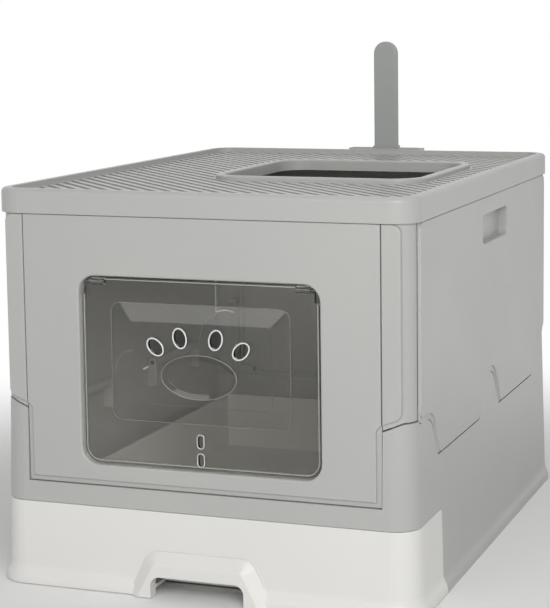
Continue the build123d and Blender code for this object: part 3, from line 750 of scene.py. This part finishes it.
@dataclass(frozen=True)
class Viewpoint:
    """Camera at the photograph's viewing angle."""

    place: tuple[float, float, float] = (0.6350, -1.7116, 0.5272)
    azimuth: float = 19.19
    elevation: float = 6.6
    roll: float = -0.55
    lens: float = 104.85
    sensor: float = 36.0
    shift_x: float = -0.0987
    shift_y: float = -0.1316

    def build(self) -> None:
        """Make the camera and set it."""
        data = bpy.data.cameras.new("viewpoint")
        data.lens = self.lens
        data.sensor_width = self.sensor
        data.shift_x = self.shift_x
        data.shift_y = self.shift_y
        angles = (self.azimuth, self.elevation, self.roll)
        turn, rise, lean = (math.radians(angle) for angle in angles)
        reach = math.cos(rise)
        back = Vector((math.sin(turn) * reach, -math.cos(turn) * reach, math.sin(rise)))
        level = Vector((math.cos(turn), math.sin(turn), 0.0))
        upright = back.cross(level)
        right = math.cos(lean) * level + math.sin(lean) * upright
        up = math.cos(lean) * upright - math.sin(lean) * level
        camera = bpy.data.objects.new("viewpoint", data)
        aim = Matrix((right, up, back)).transposed().to_4x4()
        camera.matrix_world = Matrix.Translation(self.place) @ aim
        bpy.context.scene.collection.objects.link(camera)
        bpy.context.scene.camera = camera


@dataclass
class Studio:
    """Pale floor, white surroundings, soft lamps and the camera."""

    floor_half: float = 6.0
    floor_colour: Colour = (0.93, 0.93, 0.925, 1.0)
    floor_roughness: float = 0.9
    plain_radius: float = 0.36
    white_radius: float = 0.95
    ambient: float = 0.36
    viewpoint: Viewpoint = field(default_factory=Viewpoint)
    lamps: tuple[SoftLamp, ...] = (
        SoftLamp("key_lamp", (0.95, -1.75, 1.05), 1.0, 19.0),
        SoftLamp("low_lamp", (-0.72, -2.33, 0.78), 0.9, 3.6),
        SoftLamp("top_lamp", (0.1, 0.3, 2.4), 1.4, 6.0),
    )

    def build(self) -> None:
        """Make the studio."""
        bpy.context.scene.view_settings.view_transform = "Standard"
        self._floor()
        self._surroundings()
        for lamp in self.lamps:
            lamp.build()
        self.viewpoint.build()

    def _floor(self) -> None:
        """Pale floor that keeps the shadow near the box and turns to plain white far off."""
        shape = bmesh.new()
        bmesh.ops.create_grid(shape, x_segments=1, y_segments=1, size=self.floor_half)
        mesh = bpy.data.meshes.new("studio_floor")
        shape.to_mesh(mesh)
        shape.free()
        floor = bpy.data.objects.new("studio_floor", mesh)
        bpy.context.scene.collection.objects.link(floor)
        made = bpy.data.materials.new("studio_floor")
        made.use_nodes = True
        kit = NodeKit(made.node_tree)
        surface = made.node_tree.nodes["Principled BSDF"]
        surface.inputs["Base Color"].default_value = self.floor_colour
        surface.inputs["Roughness"].default_value = self.floor_roughness
        place = kit.add("ShaderNodeTexCoord").outputs["Object"]
        reach = kit.add("ShaderNodeVectorMath", operation="LENGTH")
        kit.join(place, reach.inputs[0])
        fade = kit.add("ShaderNodeMapRange", interpolation_type="SMOOTHSTEP")
        fade.inputs["From Min"].default_value = self.plain_radius
        fade.inputs["From Max"].default_value = self.white_radius
        kit.join(reach.outputs["Value"], fade.inputs["Value"])
        white = kit.add("ShaderNodeEmission")
        seen = self._seen(kit)
        mix = kit.add("ShaderNodeMixShader")
        kit.join(kit.math("MULTIPLY", fade.outputs["Result"], seen), mix.inputs["Fac"])
        kit.join(surface.outputs["BSDF"], mix.inputs[1])
        kit.join(white.outputs["Emission"], mix.inputs[2])
        kit.join(mix.outputs["Shader"], made.node_tree.nodes["Material Output"].inputs["Surface"])
        mesh.materials.append(made)

    def _surroundings(self) -> None:
        """White to the eye and to mirrors; a softer level as light."""
        world = bpy.data.worlds.new("studio_white")
        world.use_nodes = True
        bpy.context.scene.world = world
        kit = NodeKit(world.node_tree)
        light = world.node_tree.nodes["Background"]
        light.inputs["Color"].default_value = (1.0, 1.0, 1.0, 1.0)
        light.inputs["Strength"].default_value = self.ambient
        shown = kit.add("ShaderNodeBackground")
        shown.inputs["Color"].default_value = (1.0, 1.0, 1.0, 1.0)
        mix = kit.add("ShaderNodeMixShader")
        kit.join(self._seen(kit), mix.inputs["Fac"])
        kit.join(light.outputs["Background"], mix.inputs[1])
        kit.join(shown.outputs["Background"], mix.inputs[2])
        kit.join(mix.outputs["Shader"], world.node_tree.nodes["World Output"].inputs["Surface"])

    @staticmethod
    def _seen(kit: NodeKit) -> bpy.types.NodeSocket:
        """One for rays from the camera and those that mirrors send on."""
        path = kit.add("ShaderNodeLightPath")
        mirrored = kit.math("SUBTRACT", path.outputs["Is Glossy Ray"],
                            path.outputs["Is Transmission Ray"])
        return kit.math("MAXIMUM", path.outputs["Is Camera Ray"], mirrored)


def main() -> None:
    """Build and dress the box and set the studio."""
    logging.basicConfig(level=logging.INFO, format="%(name)s %(message)s")
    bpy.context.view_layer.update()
    palette = Palette()
    assemblies: list[SubAssembly] = [LowerBody(palette), LitterDrawer(palette)]
    assemblies += [EndWall(palette, end) for end in End]
    assemblies += [SideWall(palette, side) for side in Side]
    assemblies += [PostFrame(palette, end) for end in End]
    assemblies += [SwingFlap(palette), LidSet(palette)]
    for assembly in assemblies:
        assembly.build()
        assembly.dress()
    Studio().build()


if __name__ == "__main__":
    main()
